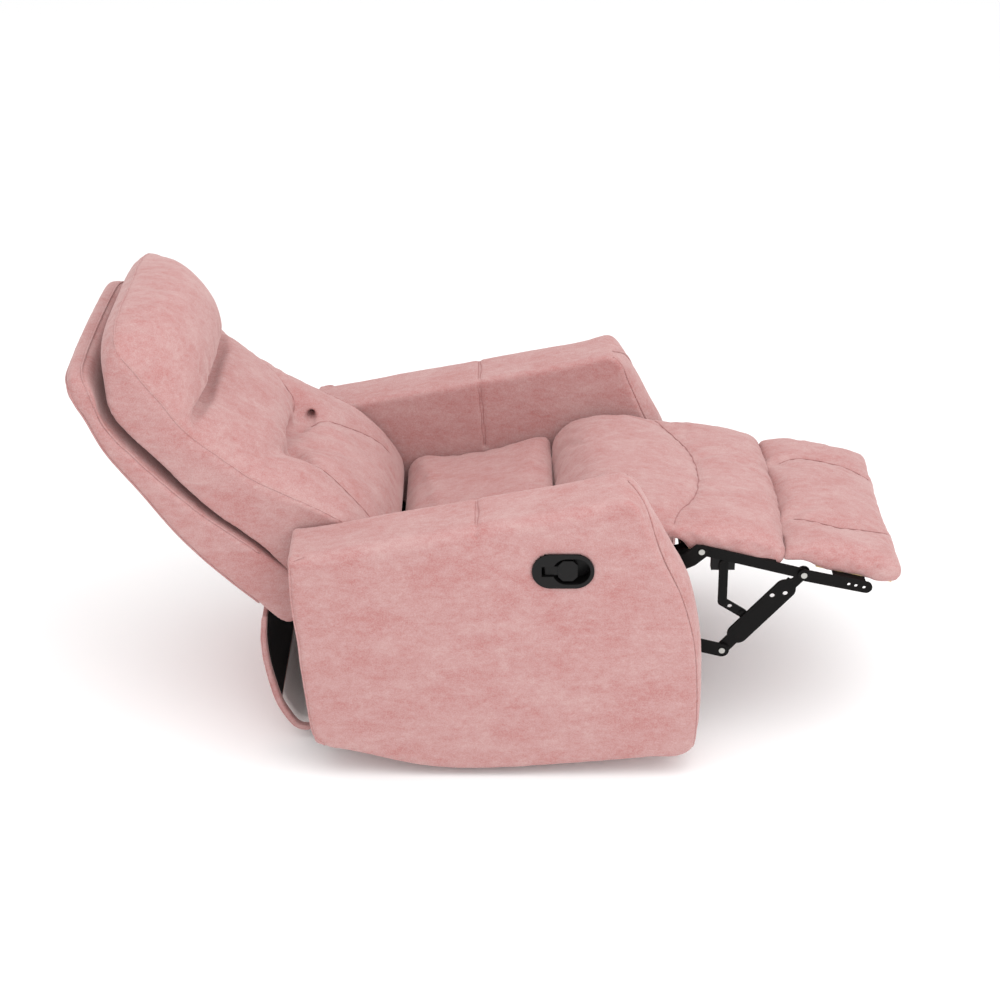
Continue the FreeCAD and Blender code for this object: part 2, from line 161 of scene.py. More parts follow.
def new_piece(name: str, points: np.ndarray, faces: Iterable[Sequence[int]]) -> bpy.types.Object:
    """Makes an object from points in millimetres, with its faces turned outwards.

    Args:
        name: The object's name.
        points: One (x, y, z) row per vertex, in millimetres.
        faces: The vertex numbers of each face.

    Returns:
        The new object, at the origin.
    """
    mesh = bpy.data.meshes.new(name)
    mesh.from_pydata((points * MM).tolist(), [], [list(f) for f in faces])
    work = bmesh.new()
    work.from_mesh(mesh)
    bmesh.ops.recalc_face_normals(work, faces=work.faces)
    work.to_mesh(mesh)
    work.free()
    mesh.shade_smooth()
    obj = bpy.data.objects.new(name, mesh)
    bpy.context.scene.collection.objects.link(obj)
    return obj


def grid_faces(rows: int, columns: int, first: int = 0) -> np.ndarray:
    """Quads between rings of points that each close on themselves.

    Args:
        rows: How many rings there are.
        columns: How many points each ring has.
        first: The number of the first ring's first point.

    Returns:
        One row of four vertex numbers per quad.
    """
    low = np.arange(rows - 1)[:, None] * columns
    here = np.arange(columns)
    there = (here + 1) % columns
    quad = np.stack([low + here, low + there, low + columns + there, low + columns + here], -1)
    return quad.reshape(-1, 4) + first


def drawn_in(outline: np.ndarray, inset: np.ndarray) -> np.ndarray:
    """Moves an outline's points inwards along their normals by inset, which has one row per station across."""
    return outline[None] - outward_of(outline)[None] * inset[..., None]


def loft(name: str, stations: np.ndarray, rings: np.ndarray) -> bpy.types.Object:
    """Joins closed (y, z) rings that stand side by side across the chair, and closes both ends.

    Args:
        name: The object's name.
        stations: The x of each ring, in millimetres.
        rings: For each station, the ring's (y, z) points.

    Returns:
        The closed form.
    """
    n = rings.shape[1]
    x = np.broadcast_to(stations[:, None, None], (len(stations), n, 1))
    points = np.concatenate([x, rings], -1).reshape(-1, 3)
    faces = grid_faces(len(stations), n).tolist()
    ends = [list(range(n))[::-1], list(range((len(stations) - 1) * n, len(stations) * n))]
    return new_piece(name, points, faces + ends)


def rounded_stations(middle: float, half: float, radius: float) -> np.ndarray:
    """Stations across a form, closer together over the last radius of each side."""
    turn = half - radius * (1 - np.sin(np.linspace(0, np.pi / 2, 7)))
    flat = np.linspace(-(half - radius), half - radius, 13)[1:-1]
    return middle + np.concatenate([-turn[::-1], flat, turn])


def edge_inset(across: np.ndarray, half: float, radius: np.ndarray) -> np.ndarray:
    """How far a rounded edge draws the outline in: the radius less the height of its quarter circle."""
    over = np.clip(np.abs(across)[:, None] - (half - radius[None]), 0, radius[None])
    return radius[None] - np.sqrt(np.maximum(radius[None] ** 2 - over**2, 0))


def bake_modifiers(obj: bpy.types.Object) -> None:
    """Puts the result of the object's modifiers into its mesh and takes them off."""
    bpy.context.view_layer.update()
    evaluated = obj.evaluated_get(bpy.context.evaluated_depsgraph_get())
    mesh = bpy.data.meshes.new_from_object(evaluated)
    obj.modifiers.clear()
    obj.data = mesh
    mesh.name = obj.name
    mesh.shade_smooth()


def remesh(obj: bpy.types.Object, voxel: float, smoothing: int) -> None:
    """Covers the form with even quads and rounds its edges.

    Args:
        obj: The closed form.
        voxel: The quads' size in millimetres.
        smoothing: How many rounds of neighbour averaging follow.
    """
    net = obj.modifiers.new("net", "REMESH")
    net.mode = "VOXEL"
    net.voxel_size = voxel * MM
    soften = obj.modifiers.new("soften", "SMOOTH")
    soften.factor = 0.5
    soften.iterations = smoothing
    bake_modifiers(obj)


def refine(obj: bpy.types.Object, levels: int = 1) -> None:
    """Subdivides the surface, for the piece's last smoothness."""
    finer = obj.modifiers.new("finer", "SUBSURF")
    finer.levels = finer.render_levels = levels
    bake_modifiers(obj)


@dataclass
class Skin:
    """The vertices and normals of a piece, in millimetres, for shaping as whole arrays.

    Attributes:
        obj: The piece.
    """

    obj: bpy.types.Object
    points: np.ndarray = field(init=False)
    normals: np.ndarray = field(init=False)

    def __post_init__(self) -> None:
        """Reads the mesh."""
        self.read()

    def read(self) -> None:
        """Takes the points and normals from the mesh."""
        mesh = self.obj.data
        flat = np.empty(len(mesh.vertices) * 3, np.float32)
        mesh.vertices.foreach_get("co", flat)
        self.points = flat.reshape(-1, 3).astype(float) / MM
        mesh.vertex_normals.foreach_get("vector", flat)
        self.normals = flat.reshape(-1, 3).astype(float)

    def write(self) -> None:
        """Puts the points back into the mesh and reads the new normals."""
        mesh = self.obj.data
        mesh.vertices.foreach_set("co", (self.points * MM).astype(np.float32).ravel())
        mesh.update()
        self.read()

    def distance_to(self, path: np.ndarray, reach: float) -> tuple[np.ndarray, np.ndarray]:
        """Finds how far each vertex is from a line, with no search past reach.

        Args:
            path: The line's points, closely spaced, in millimetres.
            reach: The distance at which the search stops.

        Returns:
            The distance of each vertex, and the number of the nearest point of the line.
        """
        distance = np.full(len(self.points), 1e9)
        nearest = np.zeros(len(self.points), int)
        low, high = path.min(0) - reach, path.max(0) + reach
        close = np.flatnonzero(np.all((self.points > low) & (self.points < high), axis=1))
        for part in np.array_split(close, max(1, len(close) // 4000)):
            gap = np.linalg.norm(self.points[part, None] - path[None], axis=2)
            nearest[part] = gap.argmin(1)
            distance[part] = gap.min(1)
        return distance, nearest

    def carve(self, path: np.ndarray, depth: float | np.ndarray, width: float) -> None:
        """Sinks a groove: each vertex goes in by depth times e to the minus (distance over width) squared.

        Args:
            path: The groove's line.
            depth: Its depth, one number or one per point of the line.
            width: The distance at which a third of the depth is left.
        """
        distance, nearest = self.distance_to(path, width * 2.6)
        deep = np.broadcast_to(np.asarray(depth, float), (len(path),))[nearest]
        self.points -= self.normals * (deep * np.exp(-((distance / width) ** 2)))[:, None]

    def settle(self, path: np.ndarray, spread: float = 6.0, lift: float = 0.0) -> tuple[np.ndarray, np.ndarray]:
        """Lays a line on the surface.

        Each of its points goes to the mean of the vertices near it, each weighted by e to the minus (distance from
        the nearest vertex over spread) squared, and then out along the mean normal by lift.

        Args:
            path: The line's points.
            spread: The width of the mean.
            lift: How far the line stands out of the surface.

        Returns:
            The settled points and the surface normal at each.
        """
        settled, normal = np.empty_like(path), np.empty_like(path)
        for part in np.array_split(np.arange(len(path)), max(1, len(path) // 16)):
            low, high = path[part].min(0) - 60, path[part].max(0) + 60
            near = np.flatnonzero(np.all((self.points > low) & (self.points < high), axis=1))
            gap = np.linalg.norm(path[part, None] - self.points[None, near], axis=2)
            core = self.points[near[gap.argmin(1)]]
            ring = np.linalg.norm(core[:, None] - self.points[None, near], axis=2)
            weight = np.exp(-((ring / spread) ** 2))
            weight /= weight.sum(1, keepdims=True)
            settled[part] = weight @ self.points[near]
            normal[part] = weight @ self.normals[near]
        normal /= np.linalg.norm(normal, axis=1)[:, None]
        for _ in range(6):
            settled[1:-1] = (settled[:-2] + 2 * settled[1:-1] + settled[2:]) / 4
        return settled + normal * lift, normal

    def ripple(self, size: float, height: float, seed: int) -> None:
        """Gives the cover the slack of real cloth: a sum of eight low waves of random direction and phase.

        Args:
            size: The waves' middle length in millimetres.
            height: The largest height of their sum.
            seed: The seed of the directions and phases.
        """
        random = np.random.default_rng(seed)
        turn = random.normal(size=(8, 3))
        turn /= np.linalg.norm(turn, axis=1)[:, None]
        pitch = size * random.uniform(0.6, 1.6, 8)
        phase = random.uniform(0, 2 * np.pi, 8)
        wave = np.sin(self.points @ (turn / pitch[:, None]).T * 2 * np.pi + phase).sum(1) / 8
        self.points += self.normals * (wave * height)[:, None]

    def limit(self, half: float) -> None:
        """Keeps the piece between two side planes, half away from the chair's middle."""
        self.points[:, 0] = np.clip(self.points[:, 0], -half, half)


def swell(obj: bpy.types.Object, pinned: np.ndarray, pressure: float, cap: float, slack: float = 0.02) -> None:
    """Fills a padded piece: its cover is simulated as cloth under air pressure, held along its seams.

    A vertex that moved by d ends cap times the hyperbolic tangent of (d over cap) from where it began.

    Args:
        obj: The piece, a closed net of even quads.
        pinned: Which vertices are held.
        pressure: The pressure of the filling.
        cap: The furthest that a vertex moves, in millimetres.
        slack: How much larger the cover is cut than the form.
    """
    before = Skin(obj).points
    group = obj.vertex_groups.new(name="sewn")
    group.add(np.flatnonzero(pinned).tolist(), 1.0, "REPLACE")
    cloth = obj.modifiers.new("filling", "CLOTH")
    cloth.settings.use_pressure = True
    cloth.settings.uniform_pressure_force = pressure
    cloth.settings.vertex_group_mass = group.name
    cloth.settings.effector_weights.gravity = 0
    cloth.settings.shrink_min = -slack
    cloth.settings.quality = 5
    cloth.collision_settings.use_collision = False
    cloth.point_cache.frame_start = 1
    cloth.point_cache.frame_end = SIM_FRAMES
    scene = bpy.context.scene
    for number in range(1, SIM_FRAMES + 1):
        scene.frame_set(number)
    bake_modifiers(obj)
    scene.frame_set(1)
    obj.vertex_groups.clear()
    skin = Skin(obj)
    moved = skin.points - before
    far = np.linalg.norm(moved, axis=1)[:, None]
    skin.points = before + moved * (cap * np.tanh(far / cap) / np.maximum(far, 1e-6))
    skin.write()


def round_cords(name: str, lines: Sequence[tuple[np.ndarray, np.ndarray]], radius: float) -> bpy.types.Object:
    """Carries a small circle along each line and closes its ends.

    The circle stands across the line's tangent; its first axis is the tangent crossed with the surface normal.

    Args:
        name: The object's name.
        lines: Each line's points and the surface normals under them.
        radius: The circle's radius in millimetres.

    Returns:
        One object with every line on it.
    """
    sides = 8
    angle = np.linspace(0, 2 * np.pi, sides, endpoint=False)
    points, faces, first = [], [], 0
    for path, normal in lines:
        tangent = np.gradient(path, axis=0)
        tangent /= np.linalg.norm(tangent, axis=1)[:, None]
        across = np.cross(tangent, normal)
        across /= np.linalg.norm(across, axis=1)[:, None]
        up = np.cross(across, tangent)
        width = np.full(len(path), radius)
        width[[0, -1]] *= 0.45
        ring = (np.cos(angle)[None, :, None] * across[:, None] + np.sin(angle)[None, :, None] * up[:, None])
        points.append((path[:, None] + ring * width[:, None, None]).reshape(-1, 3))
        faces += grid_faces(len(path), sides, first).tolist()
        last = first + (len(path) - 1) * sides
        faces += [list(range(first, first + sides)), list(range(last, last + sides))]
        first += len(path) * sides
    return new_piece(name, np.vstack(points), faces)


# ------------------------------------------------------------------------------------------ materials

def linear(colour: str) -> tuple[float, float, float, float]:
    """Turns an sRGB hex colour to linear red, green and blue, with full alpha."""
    parts = np.array([int(colour[k:k + 2], 16) for k in (1, 3, 5)]) / 255
    parts = np.where(parts <= 0.04045, parts / 12.92, ((parts + 0.055) / 1.055) ** 2.4)
    return (*parts.tolist(), 1.0)


def add_node(tree: bpy.types.NodeTree, kind: str, inputs: dict | None = None,
             **settings: str | bool) -> bpy.types.NodeOutputs:
    """Adds a shader node.

    Args:
        tree: The material's node tree.
        kind: The node's type name, without the part that every shader node's name begins with.
        inputs: For each input, a value or the output that feeds it.
        settings: Values for the node's own properties.

    Returns:
        The new node's outputs.
    """
    node = tree.nodes.new("ShaderNode" + kind)
    for name, value in settings.items():
        setattr(node, name, value)
    for name, value in (inputs or {}).items():
        if isinstance(value, bpy.types.NodeSocket):
            tree.links.new(value, node.inputs[name])
        else:
            node.inputs[name].default_value = value
    return node.outputs


def start_material(name: str) -> tuple[bpy.types.Material, bpy.types.NodeTree, bpy.types.NodeSocket]:
    """Begins a material and gives its tree and the object coordinates that its patterns read."""
    material = bpy.data.materials.new(name)
    material.use_nodes = True
    tree = material.node_tree
    tree.nodes.clear()
    return material, tree, add_node(tree, "TexCoord")["Object"]


def finish_material(tree: bpy.types.NodeTree, inputs: dict) -> None:
    """Ends a material with its surface shader, fed by the inputs given."""
    surface = add_node(tree, "BsdfPrincipled", inputs)
    add_node(tree, "OutputMaterial", {"Surface": surface["BSDF"]})


@dataclass(frozen=True)
class ChenilleVelvet:
    """Short-pile chenille in dusty pink, woven and brushed: the pile lies in patches that catch the light unevenly.

    Attributes:
        name: The material's name.
        deep: The colour where the pile stands towards the eye.
        body: The colour of most of the cloth.
        bright: The colour where the pile lies flat.
        cloud_mm: The size of the broad drifts of shade.
        brush_mm: The size of the brushed patches.
        fibre_mm: The size of the tufts; real ones are 1 mm, drawn coarser so that they show.
    """

    name: str = "chenille_velvet"
    deep: str = "#aa7370"
    body: str = "#b28886"
    bright: str = "#ba9895"
    cloud_mm: float = 55.0
    brush_mm: float = 10.0
    fibre_mm: float = 2.4

    def make(self) -> bpy.types.Material:
        """Builds the material."""
        material, tree, place = start_material(self.name)
        brushed = add_node(tree, "Mapping", {"Vector": place, "Scale": (1.0, 0.5, 1.0)})["Vector"]
        cloud = add_node(tree, "TexNoise", {"Vector": brushed, "Scale": 1000 / self.cloud_mm, "Detail": 4.0,
                                            "Roughness": 0.6, "Distortion": 0.4})["Fac"]
        brush = add_node(tree, "TexNoise", {"Vector": brushed, "Scale": 1000 / self.brush_mm, "Detail": 5.0,
                                            "Roughness": 0.68, "Distortion": 0.2})["Fac"]
        fibre = add_node(tree, "TexNoise", {"Vector": place, "Scale": 1000 / self.fibre_mm, "Detail": 2.0,
                                            "Roughness": 0.7})["Fac"]
        lay = 0.0
        for layer, weight in ((brush, 0.32), (cloud, 0.3), (fibre, 0.38)):
            height = add_node(tree, "MapRange", {"Value": layer, "From Min": 0.3, "From Max": 0.7})["Result"]
            lay = add_node(tree, "Math", {0: height, 1: weight, 2: lay}, operation="MULTIPLY_ADD",
                           use_clamp=layer is fibre)["Value"]
        shade = linear(self.deep)
        for low, high, colour in ((0.2, 0.5, self.body), (0.5, 0.8, self.bright)):
            share = add_node(tree, "MapRange", {"Value": lay, "From Min": low, "From Max": high})["Result"]
            shade = add_node(tree, "Mix", {"Factor": share, 6: shade, 7: linear(colour)}, data_type="RGBA")[2]
        relief = add_node(tree, "Math", {0: brush, 1: 1.2, 2: fibre}, operation="MULTIPLY_ADD")["Value"]
        bump = add_node(tree, "Bump", {"Height": relief, "Strength": 0.5, "Distance": 0.0012})["Normal"]
        finish_material(tree, {"Base Color": shade, "Roughness": 0.92, "Specular IOR Level": 0.15,
                               "Sheen Weight": 0.42, "Sheen Roughness": 0.45, "Sheen Tint": linear("#ead6d3"),
                               "Normal": bump})
        return material


@dataclass(frozen=True)
class SpunCloth:
    """Plain thin cloth: sewing thread, or the spun-bonded lining that backs the skirt.

    Attributes:
        name: The material's name.
        dark: The colour between the fibres.
        light: The colour on top of them.
        fibre_mm: The size of the fibres' clumps.
    """

    name: str
    dark: str
    light: str
    fibre_mm: float

    def make(self) -> bpy.types.Material:
        """Builds the material."""
        material, tree, place = start_material(self.name)
        fibre = add_node(tree, "TexNoise", {"Vector": place, "Scale": 1000 / self.fibre_mm, "Detail": 4.0,
                                            "Roughness": 0.7})["Fac"]
        shade = add_node(tree, "Mix", {"Factor": fibre, 6: linear(self.dark), 7: linear(self.light)},
                         data_type="RGBA")[2]
        bump = add_node(tree, "Bump", {"Height": fibre, "Strength": 0.4, "Distance": 0.0006})["Normal"]
        finish_material(tree, {"Base Color": shade, "Roughness": 0.9, "Specular IOR Level": 0.2, "Normal": bump})
        return material


@dataclass(frozen=True)
class Coating:
    """A paint, plating or moulded plastic over a hard part.

    Attributes:
        name: The material's name.
        dark: The colour of the rubbed places, in random patches.
        light: The colour of most of the surface.
        metallic: 1 for bare or plated metal, 0 for paint and plastic.
        roughness: The gloss, from 0, mirror, to 1, chalk.
        grain_mm: The size of the surface texture.
        relief_mm: Its height.
        stretch: How much longer the texture is front to back, for drawn or brushed metal.
        specular: The strength of its mirror reflection; 0.5 is that of clear lacquer.
    """

    name: str
    dark: str
    light: str
    metallic: float
    roughness: float
    grain_mm: float
    relief_mm: float
    stretch: float = 1.0
    specular: float = 0.5

    def make(self) -> bpy.types.Material:
        """Builds the material."""
        material, tree, place = start_material(self.name)
        drawn = add_node(tree, "Mapping", {"Vector": place, "Scale": (1.0, 1.0 / self.stretch, 1.0)})["Vector"]
        grain = add_node(tree, "TexNoise", {"Vector": drawn, "Scale": 1000 / self.grain_mm, "Detail": 3.0})["Fac"]
        wear = add_node(tree, "TexNoise", {"Vector": place, "Scale": 1000 / WEAR_MM, "Detail": 5.0})["Fac"]
        mottle = add_node(tree, "Math", {0: wear, 1: 0.8, 2: 0.15}, operation="MULTIPLY_ADD", use_clamp=True)["Value"]
        shade = add_node(tree, "Mix", {"Factor": mottle, 6: linear(self.dark), 7: linear(self.light)},
                         data_type="RGBA")[2]
        gloss = add_node(tree, "MapRange", {"Value": wear, "To Min": self.roughness * 0.85,
                                            "To Max": min(1.0, self.roughness * 1.2)})["Result"]
        bump = add_node(tree, "Bump", {"Height": grain, "Strength": 0.6, "Distance": self.relief_mm * MM})["Normal"]
        finish_material(tree, {"Base Color": shade, "Metallic": self.metallic, "Specular IOR Level": self.specular,
                               "Roughness": gloss, "Normal": bump})
        return material


@dataclass(frozen=True)
class Plywood:
    """Birch plywood: pale veneer with long soft grain, sanded.

    Attributes:
        name: The material's name.
        pale: The colour between the grain lines.
        warm: The colour of the grain lines.
        grain_mm: The spacing of the grain across the sheet.
    """

    name: str = "birch_plywood"
    pale: str = "#d9bd92"
    warm: str = "#b88f5c"
    grain_mm: float = 7.0

    def make(self) -> bpy.types.Material:
        """Builds the material."""
        material, tree, place = start_material(self.name)
        drawn = add_node(tree, "Mapping", {"Vector": place, "Scale": (1.0, 0.08, 0.9)})["Vector"]
        grain = add_node(tree, "TexNoise", {"Vector": drawn, "Scale": 1000 / self.grain_mm, "Detail": 6.0,
                                            "Distortion": 0.6})["Fac"]
        line = add_node(tree, "MapRange", {"Value": grain, "From Min": 0.35, "From Max": 0.65})["Result"]
        shade = add_node(tree, "Mix", {"Factor": line, 6: linear(self.pale), 7: linear(self.warm)},
                         data_type="RGBA")[2]
        bump = add_node(tree, "Bump", {"Height": grain, "Strength": 0.4, "Distance": 0.0003})["Normal"]
        finish_material(tree, {"Base Color": shade, "Roughness": 0.6, "Normal": bump})
        return material


class Finish(Enum):
    """The finishes by the name of the record's material slot, and the two that only sewn pieces use."""

    COVER = "cover_fabric"
    PAD = "pad_fabric"
    BLACK_STEEL = "black_steel"
    ZINC = "zinc_steel"
    SPRING = "spring_steel"
    PLYWOOD = "plywood"
    PLASTIC = "black_plastic"
    GLIDE = "glide_plastic"
    THREAD = "thread"
    LINING = "lining"
    DARK_UPPER_SHEET = "dark_upper_sheet"


def make_finishes() -> dict[Finish, bpy.types.Material]:
    """Builds every material of the chair."""
    velvet = ChenilleVelvet().make()
    return {
        Finish.COVER: velvet,
        Finish.PAD: velvet,
        # Powder coat over pressed steel: near black, satin, with the faint orange peel of the cured powder.
        Finish.BLACK_STEEL: Coating("black_powder_coat", "#080707", "#0f0e0e", 0.0, 0.45, 1.6, 0.05, 1.0, 0.1).make(),
        # Zinc plate: bright grey with a slight bloom, drawn lines along the rods and pins.
        Finish.ZINC: Coating("zinc_plate", "#8f8f8c", "#c4c3be", 1.0, 0.34, 1.2, 0.02, 6.0).make(),
        # Oil-tempered spring wire: dark blued metal with a dull shine.
        Finish.SPRING: Coating("oil_tempered_wire", "#35342f", "#5a5852", 1.0, 0.45, 1.0, 0.02, 5.0).make(),
        Finish.PLYWOOD: Plywood().make(),
        # ABS with a fine spark-eroded texture: soft highlights on a near-black ground.
        Finish.PLASTIC: Coating("moulded_black_abs", "#0b0a0a", "#131212", 0.0, 0.38, 0.9, 0.03, 1.0, 0.18).make(),
        # Acetal bushes: waxy and a little lighter than the steel.
        Finish.GLIDE: Coating("acetal_bushes", "#1b1b1c", "#2c2c2d", 0.0, 0.3, 1.4, 0.02).make(),
        # Sewing thread sunk in the pile, darker than the cloth: the dark is partly painted shade for the seam
        # grooves, which the mesh is too coarse to hold.
        Finish.THREAD: SpunCloth("thread_painted_seam_shade", "#9c6d6b", "#b08280", 1.2).make(),
        # Spun-bonded lining: thin, off-white and a little fluffy; the upper inside of the skirt gets the same texture
        # in near black.
        Finish.LINING: SpunCloth("spun_bonded_lining", "#c9c4c2", "#efecea", 2.0).make(),
        Finish.DARK_UPPER_SHEET: SpunCloth("near_black_upper_sheet", "#0d0c0c", "#1a1818", 2.0).make(),
    }


# --------------------------------------------------------------------------------------------- pieces

class Side(Enum):
    """The chair's two sides, by the sign of their x."""

    LEFT = 1
    RIGHT = -1


@dataclass
class Upholstery:
    """What every sewn piece needs: the finishes, and the way a finished piece joins the frame.

    Attributes:
        finishes: The materials by finish.
    """

    finishes: dict[Finish, bpy.types.Material]

    def join(self, obj: bpy.types.Object, body: str, finish: Finish, nodes: Sequence[str] = ()) -> None:
        """Dresses a piece, sets it on its body and hides the plain solids that it stands for.

        Args:
            obj: The piece.
            body: The frame body that carries it.
            finish: Its finish.
            nodes: The nodes that it replaces.
        """
        self.dress(obj, finish)
        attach(obj, body)
        if nodes:
            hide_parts(*nodes)

    def dress(self, obj: bpy.types.Object, finish: Finish) -> None:
        """Gives a piece the material of its finish, in place of any it had."""
        obj.data.materials.clear()
        obj.data.materials.append(self.finishes[finish])
        LOG.info("%s: %d faces, %s", obj.name, len(obj.data.polygons), finish.value)


@dataclass
class ArmCover(Upholstery):
    """One arm: a firm padded panel with a welted front boxing that bulges like the bow of a boat.

    Attributes:
        side: The chair's side.
        middle: The x of the arm's middle plane.
        half: Half the arm's width.
        welt: The radius of the piping.
        seam_in: How far the piping runs in from the side faces.
        body_line: The outline but for the nose, rear bottom round to the top.
        nose_line: The nose, top to bottom.
    """

    side: Side
    middle: float = 330.0
    half: float = 65.0
    welt: float = 2.3
    seam_in: float = 10.0
    body_line: tuple = ((-300, 44), (-129, 28), (105, 21), (288, 62), (336, 74), (345, 79), (348, 90), (357, 145),
                        (369, 270), (382, 464), (382, 479), (378, 485), (366, 487), (200, 519), (0, 558),
                        (-170, 592), (-232, 605))
    nose_line: tuple = ((-242, 606), (-252, 604), (-272, 590), (-301, 548), (-336, 485), (-368, 421), (-389, 344),
                        (-400, 255), (-403, 150), (-399, 84), (-394, 63), (-380, 53))

    def outline(self) -> np.ndarray:
        """The arm's whole outline at its middle plane."""
        return smooth_line(self.body_line + self.nose_line, closed=True, step=5.0)

    def bulge(self, outline: np.ndarray) -> np.ndarray:
        """How far the front boxing stands out between its welts: most near the top of the nose, little below.

        Args:
            outline: The outline's points.

        Returns:
            The bulge at each point.
        """
        y, z = outline.T
        front = 1 - smoothstep(-330, -235, y + 0.18 * (620 - z))
        return front * np.interp(z, [40, 80, 300, 480, 570, 606], [7, 9, 14, 23, 24, 4])

    def build(self) -> None:
        """Makes the cover with its handle opening, piping and seams."""
        name = f"arm_cover_{self.side.name.lower()}"
        outline = self.outline()
        y, z = outline.T
        on_top = (z > 487) * (y > -225) * (y < 362)
        stations = rounded_stations(0, self.half, 26)
        share = np.clip(np.abs(stations) / (self.half - self.seam_in), 0, 1)
        inset = self.bulge(outline)[None] * (share ** 2.4)[:, None]
        inner, outer = (edge_inset(stations, self.half, self.evened(np.where(on_top, top, 7.0))) for top in (12, 24))
        inset += np.where(stations[:, None] * self.side.value > 0, outer, inner)
        obj = loft(name + "_piece", self.side.value * self.middle + stations, drawn_in(outline, inset))
        remesh(obj, 4.0, 3)
        skin = Skin(obj)
        skin.ripple(150, 1.6, 11 + self.side.value)
        skin.ripple(45, 0.5, 31 + self.side.value)
        skin.points[:, 0] = self.flat_inner(skin.points[:, 0])
        skin.write()
        seams = self.seams()
        for kind, depth, width in (("welts", 2.2, 6.0), ("seams", 1.8, 4.5)):
            for path in seams[kind]:
                skin.carve(skin.settle(path)[0], depth, width)
            skin.write()
        if self.side is Side.RIGHT:
            self.cut_pocket(skin)
        self.join(obj, "chassis", Finish.COVER, (name,))
        cords = [skin.settle(path, 5.0, 1.2) for path in seams["welts"]]
        self.join(round_cords(name + "_welts", cords, self.welt), "chassis", Finish.COVER)
        rows = [skin.settle(path, 4.0, -0.1) for path in seams["seams"]]
        # The threads' darker colour is partly painted shade of the seam grooves.
        self.join(round_cords(name + "_seams", rows, THREAD_RADIUS), "chassis", Finish.THREAD)

    @staticmethod
    def evened(radius: np.ndarray) -> np.ndarray:
        """Evens a closed run of radii: each becomes the mean of the nine around it."""
        return np.convolve(np.concatenate([radius[-4:], radius, radius[:4]]), np.ones(9) / 9, "valid")

    def flat_inner(self, x: np.ndarray) -> np.ndarray:
        """Keeps the inner face off the frame: no point comes nearer the middle plane than its plane."""
        return np.sign(x) * np.maximum(np.abs(x), self.middle - self.half + 0.2)

    def cut_pocket(self, skin: Skin) -> None:
        """Opens the outer face where the handle's cup goes in: the face inside its rim drops behind the cup.

        Args:
            skin: The arm's surface.
        """
        low, high = (np.array(corner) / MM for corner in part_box("handle_cup"))
        radius = (high[2] - low[2]) / 2
        _, y, z = skin.points.T
        run = np.clip(y, low[1] + radius, high[1] - radius)
        away = np.hypot(y - run, z - (high[2] + low[2]) / 2) - radius
        outer = skin.points[:, 0] < -self.middle
        skin.points[outer & (away < -3.0), 0] = high[0] + 2.0
        skin.points[outer & (away >= -3.0) & (away < 6.0), 0] = -(self.middle + self.half) + 0.4
        skin.write()

    def seams(self) -> dict[str, list[np.ndarray]]:
        """The arm's piped edges and its plain seams, on the surface or close over it."""
        s = self.side.value
        outline = self.outline()
        nose = np.array(self.nose_line[1:-1], float)
        pick = np.linalg.norm(nose[:, None] - outline[None], axis=2).argmin(1)
        nose = outline[pick] - outward_of(outline)[pick] * self.bulge(outline)[pick][:, None]
        sweep = np.interp(nose[:, 1], [400, 480, 520, 560, 590, 606], [55, 49, 43, 26, -4, -34])
        outer = np.column_stack([s * (self.middle + sweep), nose])
        inner = np.column_stack([np.full(len(nose), s * (self.middle - self.half + self.seam_in)), nose])
        rear = [(s * (self.middle + self.half - 5), y, z) for y, z in
                ((350, 494), (372, 485), (378, 440), (367, 300), (357, 170), (346, 96), (326, 76))]
        over = [(s * 267, 22, 400), (s * 266, 27, 470), (s * 267, 32, 526), (s * 273, 33, 548), (s * 300, 33, 552),
                (s * 350, 33, 552), (s * 376, 33, 546), (s * 390, 33, 532)]
        return {"welts": [smooth_line(path, step=6.0) for path in (outer, inner, rear)],
                "seams": [smooth_line(path) for path in (over, [(x, y - 5, z) for x, y, z in over])]}


@dataclass
class RearSkirt(Upholstery):
    """The curved skirt that closes the rear under the back, with welted side edges and an inner sheet, off-white low
    down and near black above.

    Attributes:
        half: Half its width.
        outer: Its outer line, top to bottom.
        thickness: How thick it is.
    """

    half: float = 262.0
    outer: tuple = ((452, 285), (456, 233), (445, 140), (420, 62), (390, 24), (366, 20))
    thickness: float = 12.0

    def build(self) -> None:
        """Makes the skirt, its inner sheet and its piping."""
        line = smooth_line(self.outer, step=4.0)
        normal = np.gradient(line, axis=0)
        normal = np.stack([normal[:, 1], -normal[:, 0]], 1) / np.linalg.norm(normal, axis=1)[:, None]
        inner = line + normal * (self.thickness - 1.5)
        outline = np.vstack([line, inner[::-1]])
        stations = rounded_stations(0, self.half, 6)
        obj = loft("rear_skirt_piece", stations, np.tile(outline, (len(stations), 1, 1)))
        remesh(obj, 4.0, 2)
        skin = Skin(obj)
        skin.ripple(140, 2.0, 5)
        skin.limit(self.half)
        skin.write()
        refine(obj)
        self.join(obj, "chassis", Finish.COVER, ("rear_skirt",))
        skin.read()
        edges = []
        for x in (-self.half + 2, self.half - 2):
            path = np.column_stack([np.full(len(line), x), line - normal * 0.5])
            edges.append(skin.settle(path, 4.0, 1.0))
        self.join(round_cords("rear_skirt_welts", edges, 2.0), "chassis", Finish.COVER)
        # The inside of the skirt is off-white below 92 mm and near black above it.
        low = line[:, 1] < 92
        for part, finish, rows in (("lining", Finish.LINING, low), ("dark_upper_sheet", Finish.DARK_UPPER_SHEET, ~low)):
            near, far = (line[rows] + normal[rows] * (self.thickness + out) for out in (-0.2, 0.6))
            sheet = loft("rear_skirt_" + part, np.linspace(-250, 250, 21),
                         np.tile(np.vstack([near, far[::-1]]), (21, 1, 1)))
            self.join(sheet, "chassis", finish)


